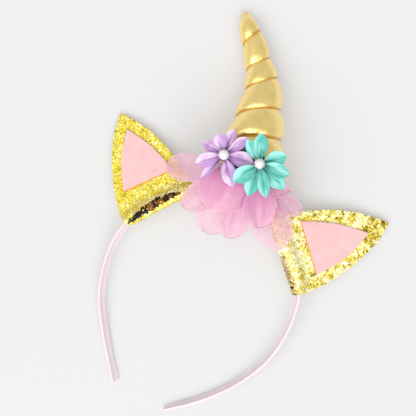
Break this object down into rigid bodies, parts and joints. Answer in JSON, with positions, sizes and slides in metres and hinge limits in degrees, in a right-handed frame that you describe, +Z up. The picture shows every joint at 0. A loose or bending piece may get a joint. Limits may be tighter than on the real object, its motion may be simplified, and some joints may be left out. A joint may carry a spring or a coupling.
{
  "type": "unicorn horn headband",
  "caption": "Costume headband with a stuffed gold horn, glitter felt ears, ribbon flowers with pearl centres and sheer pink petals on a satin-wrapped hoop.",
  "frame": {"origin": "on the table, under the middle of the whole piece as it lies", "axes": "+Z up from the table, +Y from the open ends of the hoop towards the horn, +X from the ear at the horn's tip side to the other ear"},
  "size_m": [0.1862, 0.2544, 0.0502],
  "materials": {
    "pink_satin": "satin ribbon",
    "gold_glitter": "glittered felt",
    "pink_felt": "matt felt",
    "gold_leatherette": "metallic, soft sheen",
    "gold_cord": "twisted metallic cord",
    "dark_felt": "matt felt",
    "pink_chiffon": "sheer",
    "lilac_satin": "satin ribbon",
    "mint_satin": "satin ribbon",
    "pearl": "pearlised"
  },
  "bodies": {
    "root": {"headband_hoop": "pink_satin", "left_ear": "gold_glitter", "left_ear_felt": "pink_felt", "right_ear": "gold_glitter", "right_ear_felt": "pink_felt", "horn": "gold_leatherette", "horn_cord": "gold_cord", "chiffon_petal_over_left_ear": "pink_chiffon", "chiffon_petal_beside_left_ear": "pink_chiffon", "chiffon_petal_front_left": "pink_chiffon", "chiffon_petal_low_front": "pink_chiffon", "chiffon_petal_middle_front": "pink_chiffon", "chiffon_petal_front_right": "pink_chiffon", "chiffon_petal_small_right": "pink_chiffon", "chiffon_petal_behind_right_ear": "pink_chiffon", "chiffon_petal_over_right_ear": "pink_chiffon", "flower_pad": "dark_felt", "lilac_pearl": "pearl", "lilac_petal_1": "lilac_satin", "lilac_petal_2": "lilac_satin", "lilac_petal_3": "lilac_satin", "lilac_petal_4": "lilac_satin", "lilac_petal_5": "lilac_satin", "lilac_petal_6": "lilac_satin", "lilac_petal_7": "lilac_satin", "lilac_petal_8": "lilac_satin", "mint_pearl": "pearl", "mint_petal_1": "mint_satin", "mint_petal_2": "mint_satin", "mint_petal_3": "mint_satin", "mint_petal_4": "mint_satin", "mint_petal_5": "mint_satin", "mint_petal_6": "mint_satin", "mint_petal_7": "mint_satin", "mint_petal_8": "mint_satin"}
  },
  "joints": []
}
